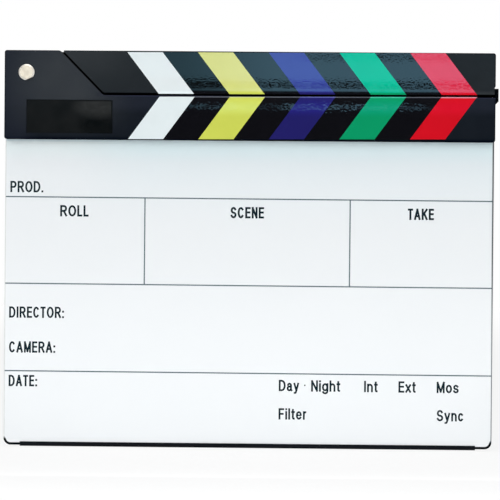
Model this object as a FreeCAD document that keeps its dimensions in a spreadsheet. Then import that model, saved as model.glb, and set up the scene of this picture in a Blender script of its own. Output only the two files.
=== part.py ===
import FreeCAD, Part
import os
import Sketcher
from FreeCAD import Vector

# Clapperboard in millimetres. An acrylic board hangs from a lower stick made of two clamped bars,
# and a second stick is hinged above it between the cheeks of those bars.
# X runs along the sticks, Y from front to back and Z up. The origin is the middle of the bottom edge.

SIZES = {
    # Whole slate
    "slate_width": 210,
    "slate_height": 170,
    # Acrylic board
    "board_thickness": 3,
    "board_corner_radius": 3,
    "board_edge_chamfer": 0.35,
    # Both sticks
    "upper_stick_height": 18.4,
    "lower_stick_height": 19,
    "stick_depth": 13,
    "clap_gap": 0.6,
    "strike_gap": 0.1,
    "stick_corner_radius": 1,
    "parting_corner_radius": 0.4,
    "stick_edge_radius": 0.35,
    # Hinge cheeks and the shoulder that faces them
    "cheek_top_width": 23.8,
    "cheek_base_width": 42.4,
    "cheek_crown_radius": 2,
    "shoulder_root_radius": 2.5,
    "shoulder_foot_radius": 4,
    "shoulder_gap": 0.93,
    # Tongue between the cheeks
    "tongue_thickness": 4,
    "tongue_setback": 0.4,
    "tongue_floor_gap": 0.5,
    "tongue_root": 2,
    # Hinge barrel, its screw and washers
    "barrel_diameter": 4,
    "barrel_floor": 1.2,
    "barrel_head_diameter": 6.8,
    "barrel_head_height": 1,
    "head_bevel": 0.6,
    "hinge_screw_diameter": 2.5,
    "hinge_screw_head_height": 1,
    "screw_slot_width": 0.9,
    "screw_slot_depth": 0.5,
    "washer_diameter": 10,
    "washer_thickness": 0.4,
    # Clamp screws
    "clamp_screw_count": 5,
    "clamp_screw_inset": 9,
    "clamp_screw_diameter": 3,
    "clamp_head_diameter": 5.6,
    "clamp_skin": 1.8,
    "cross_length": 3,
    "cross_width": 0.8,
    "cross_depth": 1,
    # End catch
    "catch_thickness": 1.45,
    "catch_width": 8,
    "catch_drop": 2.9,
    "catch_rise": 3.4,
    "catch_foot_length": 15,
    "catch_foot_height": 14,
    "nib_reach": 0.2,
    "nib_rise": 1.2,
    "relief_depth": 0.4,
    "relief_slope": 0.9,
    # Edge guard
    "trim_wall": 0.4,
    "trim_height": 1.9,
    "trim_end_inset": 7.1,
    "trim_edge_radius": 0.25,
    # Name label
    "name_width": 37.1,
    "name_end_inset": 9.4,
    "name_margin_below": 2.5,
    "name_margin_above": 2,
    "name_recess": 0.4,
    "name_thickness": 0.25,
    "name_gap": 0.25,
    # Striped film
    "film_thickness": 0.15,
    "upper_film_start": 52.59,
    "upper_film_end_margin": 7.9,
    "upper_film_outer_margin": 0.6,
    "upper_film_parting_margin": 0.05,
    "upper_film_tilt": 0.003,
    "upper_stripe_lean": 13.55,
    "lower_film_start": 53.15,
    "lower_film_end_margin": 8.25,
    "lower_film_outer_margin": 0.25,
    "lower_film_parting_margin": 0.75,
    "lower_film_tilt": 0.0045,
    "lower_stripe_lean": 13.25,
    # Clearances
    "running_clearance": 0.06,
    "axial_clearance": 0.1,
    "screw_clearance": 0.2,
    "thread_clearance": 0.02,
    "head_clearance": 0.15,
    "head_sink": 0.2,
    "seat_clearance": 0.1,
}

STRIPES = ("white", "black_1", "yellow", "black_2", "blue", "black_3", "green", "black_4", "red")
TOLERANCE = 1e-4

# Levels and places that several pieces share
LEFT = "(-Size.slate_width / 2)"
RIGHT = "(Size.slate_width / 2)"
TOP = "Size.slate_height"
UPPER_FOOT = "(Size.slate_height - Size.upper_stick_height)"
LOWER_TOP = f"({UPPER_FOOT} - Size.clap_gap)"
LOWER_FOOT = f"({LOWER_TOP} - Size.lower_stick_height)"
LOWER_MIDDLE = f"({LOWER_TOP} - Size.lower_stick_height / 2)"
REAR_TOP = f"({UPPER_FOOT} - Size.strike_gap)"
CHEEK_SLOPE = "((Size.cheek_base_width - Size.cheek_top_width) / (Size.upper_stick_height + Size.clap_gap))"
TONGUE_FOOT = f"({LOWER_TOP} + Size.tongue_floor_gap)"
TOE_RADIUS = f"(({TOP} - Size.tongue_setback - {TONGUE_FOOT}) / 2)"
PIVOT_X = f"({LEFT} + Size.tongue_setback + {TOE_RADIUS})"
PIVOT_Z = f"({TOP} - Size.tongue_setback - {TOE_RADIUS})"
HALF_BOARD = "(Size.board_thickness / 2)"
HALF_STICK = "(Size.stick_depth / 2)"
BAR_DEPTH = f"({HALF_STICK} - {HALF_BOARD})"
HALF_SLOT = "(Size.tongue_thickness / 2 + Size.washer_thickness + Size.axial_clearance)"
CATCH_LEFT = f"({RIGHT} - Size.catch_foot_length)"
CATCH_FLOOR = f"({LOWER_TOP} - Size.catch_foot_height)"
FIRST_SCREW = f"({LEFT} + Size.clamp_screw_inset)"
LAST_SCREW = f"({RIGHT} - Size.clamp_screw_inset)"
SCREW_PITCH = "((Size.slate_width - 2 * Size.clamp_screw_inset) / (Size.clamp_screw_count - 1))"
SCREW_HOLE = "(Size.clamp_screw_diameter + 2 * Size.screw_clearance)"
COUNTERBORE = "(Size.hinge_screw_head_height + Size.head_sink)"
NAME_HEIGHT = "(Size.lower_stick_height - Size.name_margin_below - Size.name_margin_above)"


def make_sheet(doc):
    """Spreadsheet with one named cell for each driving dimension."""
    sheet = doc.addObject("Spreadsheet::Sheet", "Size")
    for row, (name, value) in enumerate(SIZES.items(), 1):
        sheet.set(f"A{row}", name)
        sheet.set(f"B{row}", str(value))
        sheet.setAlias(f"B{row}", name)
    doc.recompute()


def new_body(label):
    """Empty body with the given name."""
    body = doc.addObject("PartDesign::Body", label)
    body.Label = label
    return body


def put_on_pivot(body):
    """Place a body so that its own Y axis is the hinge axis."""
    body.setExpression("Placement.Base.x", PIVOT_X)
    body.setExpression("Placement.Base.z", PIVOT_Z)


def new_sketch(body, role, forward="0"):
    """Empty sketch on an origin plane of the body, moved along the plane's normal."""
    sketch = body.newObject("Sketcher::SketchObject", f"{body.Name}_sketch")
    plane = next(item for item in body.Origin.OriginFeatures if item.Role == role)
    sketch.AttachmentSupport = [(plane, "")]
    sketch.MapMode = "FlatFace"
    sketch.setExpression("AttachmentOffset.Base.z", forward)
    doc.recompute()
    return sketch


def front_sketch(body, forward="0"):
    """Sketch that faces the viewer: across is X, up is Z, and forward moves it towards the front."""
    return new_sketch(body, "XZ_Plane", forward)


def bind(sketch, constraint, expression):
    """Add a dimension to the sketch and drive it with an expression."""
    index = sketch.addConstraint(constraint)
    sketch.setExpression(f"Constraints[{index}]", expression)


def add_outline(sketch, corners):
    """Closed outline of straight sides. Each corner is two expressions, across and up."""
    points = [Vector(sketch.evalExpression(across), sketch.evalExpression(up), 0) for across, up in corners]
    sides = []
    for start, end in zip(points, points[1:] + points[:1]):
        sides.append(sketch.addGeometry(Part.LineSegment(start, end), False))
    for side, following in zip(sides, sides[1:] + sides[:1]):
        sketch.addConstraint(Sketcher.Constraint("Coincident", side, 2, following, 1))
    for side, point, (across, up) in zip(sides, points, corners):
        bind(sketch, Sketcher.Constraint("DistanceX", side, 1, point.x), across)
        bind(sketch, Sketcher.Constraint("DistanceY", side, 1, point.y), up)
    doc.recompute()


def add_rectangle(sketch, left, foot, right, top):
    """Rectangle between two opposite corners."""
    add_outline(sketch, [(left, foot), (right, foot), (right, top), (left, top)])


def add_circle(sketch, across, up, diameter):
    """Circle with a driven centre and diameter."""
    centre = Vector(sketch.evalExpression(across), sketch.evalExpression(up), 0)
    size = sketch.evalExpression(diameter)
    circle = sketch.addGeometry(Part.Circle(centre, Vector(0, 0, 1), size / 2), False)
    bind(sketch, Sketcher.Constraint("DistanceX", circle, 3, centre.x), across)
    bind(sketch, Sketcher.Constraint("DistanceY", circle, 3, centre.y), up)
    bind(sketch, Sketcher.Constraint("Diameter", circle, size), diameter)
    doc.recompute()


def pad(body, sketch, length, symmetric=False, backwards=False):
    """Raise the sketch along its normal, against it, or by half to each side."""
    feature = body.newObject("PartDesign::Pad", f"{body.Name}_pad")
    feature.Profile = sketch
    feature.setExpression("Length", length)
    feature.SideType = "Symmetric" if symmetric else "One side"
    feature.Reversed = backwards
    doc.recompute()


def revolve(body, sketch):
    """Turn the sketch once round its own upright axis."""
    feature = body.newObject("PartDesign::Revolution", f"{body.Name}_turned")
    feature.Profile = sketch
    feature.ReferenceAxis = (sketch, ["V_Axis"])
    feature.Angle = 360
    doc.recompute()


def pocket(body, sketch, depth=None, forwards=False, symmetric=False):
    """Cut the sketch out of the body, to a depth or right through, and stop if it cuts nothing."""
    volume = body.Shape.Volume
    feature = body.newObject("PartDesign::Pocket", f"{body.Name}_pocket")
    feature.Profile = sketch
    feature.Reversed = forwards
    feature.SideType = "Symmetric" if symmetric else "One side"
    if depth is None:
        feature.Type = "ThroughAll"
    else:
        feature.setExpression("Length", depth)
    doc.recompute()
    if body.Shape.Volume > volume - TOLERANCE:
        raise RuntimeError(f"{feature.Name} removes nothing from {body.Label}")
    return feature


def repeat_along_stick(body, feature, sketch, count):
    """Repeat a feature along X at the pitch of the clamp screws."""
    pattern = body.newObject("PartDesign::LinearPattern", f"{body.Name}_row")
    pattern.Originals = [feature]
    pattern.Direction = (sketch, ["H_Axis"])
    pattern.setExpression("Length", f"{SCREW_PITCH} * ({count} - 1)")
    pattern.setExpression("Occurrences", count)
    body.Tip = pattern
    doc.recompute()


def dress_edges(body, kind, size_name, size, chosen):
    """Fillet or chamfer those edges of the body that the test picks."""
    base = body.Tip
    names = [f"Edge{number}" for number, edge in enumerate(base.Shape.Edges, 1) if chosen(edge)]
    feature = body.newObject(f"PartDesign::{kind}", f"{body.Name}_{kind.lower()}")
    feature.Base = (base, names)
    feature.setExpression(size_name, size)
    doc.recompute()


def fillet(body, radius, chosen):
    """Round the chosen edges."""
    dress_edges(body, "Fillet", "Radius", radius, chosen)


def chamfer(body, size, chosen):
    """Bevel the chosen edges at 45 degrees."""
    dress_edges(body, "Chamfer", "Size", size, chosen)


def value(expression):
    """Number that an expression stands for now."""
    return doc.getObject("Size").evalExpression(expression)


def crosses(*corners):
    """Test for edges that run from front to back at one of the corners."""
    places = [(value(across), value(up)) for across, up in corners]

    def test(edge):
        first = edge.Vertexes[0].Point
        last = edge.Vertexes[-1].Point
        if abs(first.x - last.x) + abs(first.z - last.z) > TOLERANCE or abs(first.y - last.y) < TOLERANCE:
            return False
        return any(abs(first.x - x) + abs(first.z - z) < TOLERANCE for x, z in places)

    return test


def lies_at_depth(*depths):
    """Test for edges that lie in one of the planes parallel to the front."""
    planes = [value(depth) for depth in depths]

    def test(edge):
        return any(all(abs(point.Y - plane) < TOLERANCE for point in edge.Vertexes) for plane in planes)

    return test


def make_board():
    """Acrylic sheet with round lower corners, bevelled edges and a notch for the foot of the end catch."""
    body = new_body("board")
    sketch = front_sketch(body)
    add_outline(sketch, [
        (LEFT, "Size.trim_wall"),
        (RIGHT, "Size.trim_wall"),
        (RIGHT, CATCH_FLOOR),
        (CATCH_LEFT, CATCH_FLOOR),
        (CATCH_LEFT, LOWER_TOP),
        (LEFT, LOWER_TOP),
    ])
    pad(body, sketch, "Size.board_thickness", symmetric=True)
    lower_corners = crosses((LEFT, "Size.trim_wall"), (RIGHT, "Size.trim_wall"))
    fillet(body, "Size.board_corner_radius", lower_corners)
    chamfer(body, "Size.board_edge_chamfer", lies_at_depth(f"-{HALF_BOARD}", HALF_BOARD))
    hole = front_sketch(body)
    add_circle(hole, FIRST_SCREW, LOWER_MIDDLE, SCREW_HOLE)
    cut = pocket(body, hole, symmetric=True)
    repeat_along_stick(body, cut, hole, "(Size.clamp_screw_count - 1)")


def cheek_edge(level):
    """Place across at which the slanted edge of the cheeks reaches a level."""
    return f"({LEFT} + Size.cheek_top_width + {CHEEK_SLOPE} * ({TOP} - {level}))"


def make_bar(label, forward, top):
    """One half of the lower stick up to its own top; forward is 1 for the front half and -1 for the rear."""
    body = new_body(label)
    in_front = forward > 0
    inner = f"{forward} * {HALF_BOARD}"
    outer = f"{forward} * {HALF_STICK}"
    cheek_base = (cheek_edge(top), top)
    cheek_crown = (cheek_edge(TOP), TOP)
    sketch = front_sketch(body, inner)
    parting_corner = (RIGHT, top)
    outer_corners = [(LEFT, TOP), (LEFT, LOWER_FOOT), (RIGHT, LOWER_FOOT)]
    add_outline(sketch, outer_corners + [parting_corner, cheek_base, cheek_crown])
    pad(body, sketch, BAR_DEPTH, backwards=not in_front)
    fillet(body, "Size.cheek_crown_radius", crosses(cheek_crown))
    fillet(body, "Size.shoulder_root_radius", crosses(cheek_base))
    fillet(body, "Size.parting_corner_radius", crosses(parting_corner))
    fillet(body, "Size.stick_corner_radius", crosses(*outer_corners))
    fillet(body, "Size.stick_edge_radius", lies_at_depth(f"-{outer}"))
    slot = front_sketch(body, inner)
    beyond = "Size.lower_stick_height"
    slot_end = f"({LEFT} + Size.cheek_base_width + {beyond})"
    add_rectangle(slot, f"({LEFT} - {beyond})", LOWER_TOP, slot_end, f"({TOP} + {beyond})")
    pocket(body, slot, f"{HALF_SLOT} - {HALF_BOARD}", forwards=in_front)
    bore = front_sketch(body, inner)
    add_circle(bore, PIVOT_X, PIVOT_Z, "Size.barrel_diameter + 2 * Size.running_clearance")
    pocket(body, bore, forwards=in_front)
    if in_front:
        finish_front_bar(body, inner, outer)
    else:
        finish_rear_bar(body, inner, outer)


def finish_front_bar(body, inner, outer):
    """Blind holes that take the clamp screws, and the recess of the name label."""
    hole = front_sketch(body, inner)
    add_circle(hole, FIRST_SCREW, LOWER_MIDDLE, "Size.clamp_screw_diameter + 2 * Size.thread_clearance")
    cut = pocket(body, hole, f"{BAR_DEPTH} - Size.clamp_skin", forwards=True)
    repeat_along_stick(body, cut, hole, "Size.clamp_screw_count")
    recess = front_sketch(body, outer)
    add_name_outline(recess, "0")
    pocket(body, recess, "Size.name_recess")


def finish_rear_bar(body, inner, outer):
    """Countersunk clearance holes for the clamp screws, and the counterbore of the hinge screw."""
    hole = front_sketch(body, inner)
    add_circle(hole, FIRST_SCREW, LOWER_MIDDLE, SCREW_HOLE)
    cut = pocket(body, hole)
    repeat_along_stick(body, cut, hole, "Size.clamp_screw_count")
    hole_radius = value(SCREW_HOLE) / 2
    rear_face = lies_at_depth(f"-{outer}")

    def mouths(edge):
        return rear_face(edge) and edge.Closed and abs(edge.Curve.Radius - hole_radius) < TOLERANCE

    countersink = f"(Size.clamp_head_diameter - {SCREW_HOLE}) / 2 + Size.head_sink + Size.thread_clearance"
    chamfer(body, countersink, mouths)
    seat = front_sketch(body, outer)
    add_circle(seat, PIVOT_X, PIVOT_Z, "Size.barrel_head_diameter + 2 * Size.head_clearance")
    pocket(body, seat, COUNTERBORE, forwards=True)


def add_name_outline(sketch, gap):
    """Outline of the name label's recess, or of the label with a gap all round."""
    left = f"({LEFT} + Size.name_end_inset)"
    foot = f"({LOWER_FOOT} + Size.name_margin_below)"
    add_rectangle(
        sketch,
        f"{left} + {gap}",
        f"{foot} + {gap}",
        f"{left} + Size.name_width - {gap}",
        f"{foot} + {NAME_HEIGHT} - {gap}",
    )


def make_name_label():
    """Bare label lying on the floor of its recess."""
    body = new_body("name_label")
    sketch = front_sketch(body, f"{HALF_STICK} - Size.name_recess")
    add_name_outline(sketch, "Size.name_gap")
    pad(body, sketch, "Size.name_thickness")


def make_clamp_screws():
    """Row of countersunk screws, each a cone and a shank turned about Y with a cross cut in its head."""
    body = new_body("clamp_screws")
    body.setExpression("Placement.Base.x", FIRST_SCREW)
    body.setExpression("Placement.Base.z", LOWER_MIDDLE)
    head_face = f"({HALF_STICK} - Size.head_sink)"
    neck = f"({head_face} - (Size.clamp_head_diameter - Size.clamp_screw_diameter) / 2)"
    tip = f"(-{HALF_STICK} + Size.clamp_skin + Size.seat_clearance)"
    sketch = new_sketch(body, "XY_Plane")
    add_outline(sketch, [
        ("0", tip),
        ("Size.clamp_screw_diameter / 2", tip),
        ("Size.clamp_screw_diameter / 2", neck),
        ("Size.clamp_head_diameter / 2", head_face),
        ("0", head_face),
    ])
    revolve(body, sketch)
    turned = body.Tip
    cross = front_sketch(body, f"-{head_face}")
    long = "Size.cross_length / 2"
    wide = "Size.cross_width / 2"
    add_outline(cross, [
        (f"-{long}", f"-{wide}"), (f"-{wide}", f"-{wide}"), (f"-{wide}", f"-{long}"),
        (wide, f"-{long}"), (wide, f"-{wide}"), (long, f"-{wide}"),
        (long, wide), (wide, wide), (wide, long),
        (f"-{wide}", long), (f"-{wide}", wide), (f"-{long}", wide),
    ])
    cut = pocket(body, cross, "Size.cross_depth", forwards=True)
    repeat_along_stick(body, turned, cross, "Size.clamp_screw_count")
    body.Tip.Originals = [turned, cut]
    doc.recompute()


def make_bottom_trim():
    """Edge guard of U section that grips the bottom edge of the board."""
    body = new_body("bottom_trim")
    sketch = new_sketch(body, "YZ_Plane")
    outer = f"({HALF_BOARD} + Size.trim_wall)"
    add_outline(sketch, [
        (f"-{outer}", "0"),
        (outer, "0"),
        (outer, "Size.trim_height"),
        (HALF_BOARD, "Size.trim_height"),
        (HALF_BOARD, "Size.trim_wall"),
        (f"-{HALF_BOARD}", "Size.trim_wall"),
        (f"-{HALF_BOARD}", "Size.trim_height"),
        (f"-{outer}", "Size.trim_height"),
    ])
    pad(body, sketch, "Size.slate_width - 2 * Size.trim_end_inset", symmetric=True)
    half_depth = value(outer)

    def lower_edges(edge):
        return all(abs(point.Z) + abs(abs(point.Y) - half_depth) < TOLERANCE for point in edge.Vertexes)

    fillet(body, "Size.trim_edge_radius", lower_edges)


def make_end_catch():
    """Guide plate past the end of the sticks, with a nib at its top and a foot clamped between the bars."""
    body = new_body("end_catch")
    outer = f"({RIGHT} + Size.catch_thickness)"
    plate_foot = f"({LOWER_TOP} - Size.catch_drop)"
    plate_top = f"({UPPER_FOOT} + Size.catch_rise)"
    nib = f"({RIGHT} - Size.nib_reach)"
    nib_foot = f"({UPPER_FOOT} + Size.nib_rise)"
    bevel_top = f"({plate_foot} + Size.catch_thickness)"
    sketch = front_sketch(body)
    add_outline(sketch, [
        (RIGHT, plate_foot),
        (outer, bevel_top),
        (outer, plate_top),
        (nib, plate_top),
        (nib, nib_foot),
        (RIGHT, nib_foot),
    ])
    pad(body, sketch, "Size.catch_width", symmetric=True)
    foot = front_sketch(body)
    foot_left = f"({CATCH_LEFT} + Size.seat_clearance)"
    foot_floor = f"({CATCH_FLOOR} + Size.seat_clearance)"
    middle = f"({RIGHT} + Size.catch_thickness / 2)"
    add_outline(foot, [
        (foot_left, foot_floor),
        (RIGHT, foot_floor),
        (RIGHT, bevel_top),
        (middle, bevel_top),
        (middle, LOWER_TOP),
        (foot_left, LOWER_TOP),
    ])
    pad(body, foot, "Size.board_thickness", symmetric=True)
    hole = front_sketch(body)
    add_circle(hole, LAST_SCREW, LOWER_MIDDLE, SCREW_HOLE)
    pocket(body, hole, symmetric=True)


def make_hinge_barrel():
    """Barrel nut turned about the hinge axis: bevelled front head, plain barrel and blind bore."""
    body = new_body("hinge_barrel")
    put_on_pivot(body)
    seat = f"(-{HALF_STICK})"
    face = f"({seat} - Size.barrel_head_height)"
    end = f"({HALF_STICK} - {COUNTERBORE} - Size.head_sink)"
    head = "(Size.barrel_head_diameter / 2)"
    bore = "(Size.hinge_screw_diameter / 2 + Size.thread_clearance)"
    sketch = new_sketch(body, "XY_Plane")
    add_outline(sketch, [
        ("0", face),
        (f"{head} - Size.head_bevel", face),
        (head, f"{face} + Size.head_bevel"),
        (head, seat),
        ("Size.barrel_diameter / 2", seat),
        ("Size.barrel_diameter / 2", end),
        (bore, end),
        (bore, f"{seat} + Size.barrel_floor"),
        ("0", f"{seat} + Size.barrel_floor"),
    ])
    revolve(body, sketch)


def make_hinge_screw():
    """Slotted screw that closes the barrel from the rear, its head below the rear face."""
    body = new_body("hinge_screw")
    put_on_pivot(body)
    seat = f"({HALF_STICK} - {COUNTERBORE})"
    face = f"({HALF_STICK} - Size.head_sink)"
    tip = f"(-{HALF_STICK} + Size.barrel_floor + Size.head_sink)"
    head = "(Size.barrel_head_diameter / 2)"
    shank = "(Size.hinge_screw_diameter / 2)"
    sketch = new_sketch(body, "XY_Plane")
    add_outline(sketch, [
        ("0", tip),
        (shank, tip),
        (shank, seat),
        (head, seat),
        (head, f"{face} - Size.head_bevel"),
        (f"{head} - Size.head_bevel", face),
        ("0", face),
    ])
    revolve(body, sketch)
    slot = front_sketch(body, f"-{face}")
    half_slot = "Size.screw_slot_width / 2"
    reach = "Size.barrel_head_diameter"
    add_rectangle(slot, f"-{reach}", f"-{half_slot}", reach, half_slot)
    pocket(body, slot, "Size.screw_slot_depth", forwards=True)


def make_washer(label, backward):
    """Thin washer against a cheek's inner face; backward is -1 for the front cheek and 1 for the rear."""
    body = new_body(label)
    put_on_pivot(body)
    outer = f"{backward} * {HALF_SLOT}"
    inner = f"{backward} * ({HALF_SLOT} - Size.washer_thickness)"
    hole = "Size.barrel_diameter / 2 + Size.seat_clearance"
    sketch = new_sketch(body, "XY_Plane")
    add_rectangle(sketch, hole, inner, "Size.washer_diameter / 2", outer)
    revolve(body, sketch)


def make_upper_stick():
    """Hinged stick with slanted shoulder, relief for the end catch, and a tongue with a round toe."""
    body = new_body("upper_stick")
    relief = f"({RIGHT} - Size.relief_depth)"
    relief_top = f"({UPPER_FOOT} + Size.catch_rise + Size.seat_clearance)"
    shoulder_foot = (f"({cheek_edge(UPPER_FOOT)} + Size.shoulder_gap)", UPPER_FOOT)
    shoulder_top = (f"({cheek_edge(TOP)} + Size.shoulder_gap)", TOP)
    relief_corners = [(relief, UPPER_FOOT), (relief, relief_top)]
    end_corners = [(RIGHT, f"({relief_top} + Size.relief_slope)"), (RIGHT, TOP)]
    sketch = front_sketch(body)
    add_outline(sketch, [shoulder_foot] + relief_corners + end_corners + [shoulder_top])
    pad(body, sketch, "Size.stick_depth", symmetric=True)
    fillet(body, "Size.shoulder_foot_radius", crosses(shoulder_foot))
    fillet(body, "Size.parting_corner_radius", crosses(shoulder_top, *relief_corners))
    fillet(body, "Size.stick_corner_radius", crosses(*end_corners))
    fillet(body, "Size.stick_edge_radius", lies_at_depth(f"-{HALF_STICK}", HALF_STICK))
    heel = f"({LEFT} + Size.tongue_setback)"
    back = f"({TOP} - Size.tongue_setback)"
    tongue = front_sketch(body)
    add_outline(tongue, [
        (heel, TONGUE_FOOT),
        (shoulder_foot[0], TONGUE_FOOT),
        (f"{shoulder_foot[0]} + Size.tongue_root", f"{UPPER_FOOT} + Size.tongue_setback"),
        (f"{shoulder_top[0]} + Size.tongue_root", back),
        (heel, back),
    ])
    pad(body, tongue, "Size.tongue_thickness", symmetric=True)
    fillet(body, TOE_RADIUS, crosses((heel, TONGUE_FOOT)))
    bore = front_sketch(body)
    add_circle(bore, PIVOT_X, PIVOT_Z, "Size.barrel_diameter + 2 * Size.running_clearance")
    pocket(body, bore, symmetric=True)


def make_stripes(stick, outer, parting, inward):
    """Strips of film edge to edge, leaning to the right from the stick's outer edge to its parting edge.
    inward is 1 where the parting edge is the higher. Both edges of the film rise by its tilt."""
    start = f"({LEFT} + Size.{stick}_film_start)"
    lean = f"Size.{stick}_stripe_lean"
    run = f"({RIGHT} - Size.{stick}_film_end_margin - {lean} - {start})"
    outer_edge = f"{outer} + {inward} * Size.{stick}_film_outer_margin"
    parting_edge = f"{parting} - {inward} * Size.{stick}_film_parting_margin"

    def corner(across, edge):
        return across, f"{edge} + Size.{stick}_film_tilt * ({across} - {start})"

    for index, colour in enumerate(STRIPES):
        left = f"({start} + {run} * {index} / {len(STRIPES)})"
        right = f"({start} + {run} * {index + 1} / {len(STRIPES)})"
        body = new_body(f"{stick}_stripe_{colour}")
        sketch = front_sketch(body, HALF_STICK)
        add_outline(sketch, [
            corner(left, outer_edge),
            corner(right, outer_edge),
            corner(f"({right} + {lean})", parting_edge),
            corner(f"({left} + {lean})", parting_edge),
        ])
        pad(body, sketch, "Size.film_thickness")


def check_document():
    """Stop if any object failed or any body has no sound solid."""
    for item in doc.Objects:
        if "Invalid" in item.State or "Error" in item.State:
            raise RuntimeError(f"{item.Label} failed: {item.State}")
    for body in bodies():
        if body.Shape.isNull() or not body.Shape.isValid() or not body.Shape.Solids:
            raise RuntimeError(f"{body.Label} has no sound solid")


def bodies():
    """Every body of the document."""
    return [item for item in doc.Objects if item.TypeId == "PartDesign::Body"]


def write_parts():
    """Write one file for each body, named after it."""
    os.makedirs("parts", exist_ok=True)
    for body in bodies():
        body.Shape.exportStep(f"parts/{body.Label}.step")


doc = FreeCAD.newDocument("clapperboard")
make_sheet(doc)
make_board()
make_bar("front_bar", 1, LOWER_TOP)
make_bar("rear_bar", -1, REAR_TOP)
make_clamp_screws()
make_bottom_trim()
make_name_label()
make_end_catch()
make_hinge_barrel()
make_hinge_screw()
make_washer("front_hinge_washer", -1)
make_washer("rear_hinge_washer", 1)
make_upper_stick()
make_stripes("upper", TOP, UPPER_FOOT, -1)
make_stripes("lower", LOWER_FOOT, LOWER_TOP, 1)
doc.recompute()
check_document()
write_parts()
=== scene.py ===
import math

import bpy
import numpy as np
from mathutils import Matrix


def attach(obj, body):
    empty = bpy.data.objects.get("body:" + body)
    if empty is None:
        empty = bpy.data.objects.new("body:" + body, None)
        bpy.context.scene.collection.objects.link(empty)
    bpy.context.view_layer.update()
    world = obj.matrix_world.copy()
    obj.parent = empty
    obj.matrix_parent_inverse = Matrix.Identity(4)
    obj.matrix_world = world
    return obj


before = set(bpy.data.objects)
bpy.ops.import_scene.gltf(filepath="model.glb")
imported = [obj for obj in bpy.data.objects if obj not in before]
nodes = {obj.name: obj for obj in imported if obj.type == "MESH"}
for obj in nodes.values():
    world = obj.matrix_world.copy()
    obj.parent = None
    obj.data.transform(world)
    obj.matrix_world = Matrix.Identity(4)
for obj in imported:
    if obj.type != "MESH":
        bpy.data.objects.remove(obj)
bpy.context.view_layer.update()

MM = 0.001

# Places on the slate in millimetres: x to the right of its middle, y to the back, z up from its bottom edge.
BOARD_FACE = -1.5
BOARD_HALF_WIDTH = 105.0
BOARD_FOOT, BOARD_HEAD = 0.4, 151.0
BOARD_CORNER = 3.0
PIVOT = (-95.55, 160.55)
SHOULDER_CENTRE, SHOULDER_RADIUS = (-60.58, 155.6), 4.0
SHOULDER_SLOPE, SHOULDER_LINE = 0.97895, 85.687
LABEL_MIDDLE = (-77.05, 141.75)

# The lower stick's film and its folded upper edge, in millimetres. A lean goes with the height, a tilt is a slope.
STRIPES = ("white", "black_1", "yellow", "black_2", "blue", "black_3", "green", "black_4", "red")
LOWER_START, LOWER_PITCH = -51.85, 15.0389
LOWER_LEAN, LOWER_HEIGHT, LOWER_TILT = 13.25, 18.0, 0.0045
LIP_FOOT, LIP_DEPTH = 150.25, -6.3
LIP_RADIUS, FILM_THICKNESS = 0.35, 0.14
LIP_STEPS = 9

# The board's printing in millimetres. The gap between letters is a share of the cap height.
INK_DEPTH = 0.02
INK_STEPS = 5
CAP_HEIGHT, LETTER_GAP = 4.85, 0.1
CAPTION_PEN, RULE_PEN = 0.79, 0.52

# The middle of a noise's range, in which most of it lies.
MIDDLE_GRAIN = (0.3, 0.7)


class Nodes:
    """Patterns worked out in one node tree."""

    def __init__(self, tree):
        """The tree that takes the nodes."""
        self.tree = tree

    def put(self, kind, feeds=None, **settings):
        """A node with its settings, each of its inputs fed by a constant or by another node's output."""
        made = self.tree.nodes.new(kind)
        for key, value in settings.items():
            setattr(made, key, value)
        for key, value in (feeds or {}).items():
            if isinstance(value, bpy.types.NodeSocket):
                self.tree.links.new(value, made.inputs[key])
            else:
                made.inputs[key].default_value = value
        return made

    def sum(self, operation, first, second=0.0):
        """first and second joined by one arithmetic operation."""
        return self.put("ShaderNodeMath", {0: first, 1: second}, operation=operation).outputs[0]

    def times(self, first, second):
        """The product of two patterns."""
        return self.sum("MULTIPLY", first, second)

    def less(self, first, second):
        """The first pattern less the second."""
        return self.sum("SUBTRACT", first, second)

    def larger(self, first, second=0.0):
        """The larger of two patterns."""
        return self.sum("MAXIMUM", first, second)

    def off(self, value, place):
        """How far a value is from a place, to either side."""
        return self.sum("ABSOLUTE", self.less(value, place))

    def vector(self, operation, *feeds):
        """Vectors joined by one operation. A length or a distance comes out as a number."""
        outputs = self.put("ShaderNodeVectorMath", dict(enumerate(feeds)), operation=operation).outputs
        return outputs["Value" if operation in ("LENGTH", "DISTANCE") else "Vector"]

    def ease(self, value, start, end, low=0.0, high=1.0):
        """low up to start, high from end on, and a smooth step between."""
        feeds = {0: value, 1: start, 2: end, 3: low, 4: high}
        return self.put("ShaderNodeMapRange", feeds, interpolation_type="SMOOTHSTEP").outputs[0]

    def blend(self, share, first, second):
        """The colour first where share is 0 and second where it is 1."""
        feeds = {0: share, 6: first, 7: second}
        return self.put("ShaderNodeMix", feeds, data_type="RGBA").outputs[2]

    def seen_rays(self):
        """1 for rays straight from the camera or by way of a gloss or a clear surface, and 1 for those by way of
        a gloss alone."""
        path = self.put("ShaderNodeLightPath").outputs
        bounced = self.larger(path["Is Glossy Ray"], path["Is Transmission Ray"])
        return self.larger(path["Is Camera Ray"], bounced), path["Is Glossy Ray"]

    def show(self, output, share, first, second):
        """The output takes the shader first where share is 0 and second where it is 1."""
        both = self.put("ShaderNodeMixShader", {0: share, 1: first, 2: second})
        self.tree.links.new(both.outputs[0], self.tree.nodes[output].inputs["Surface"])


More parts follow.
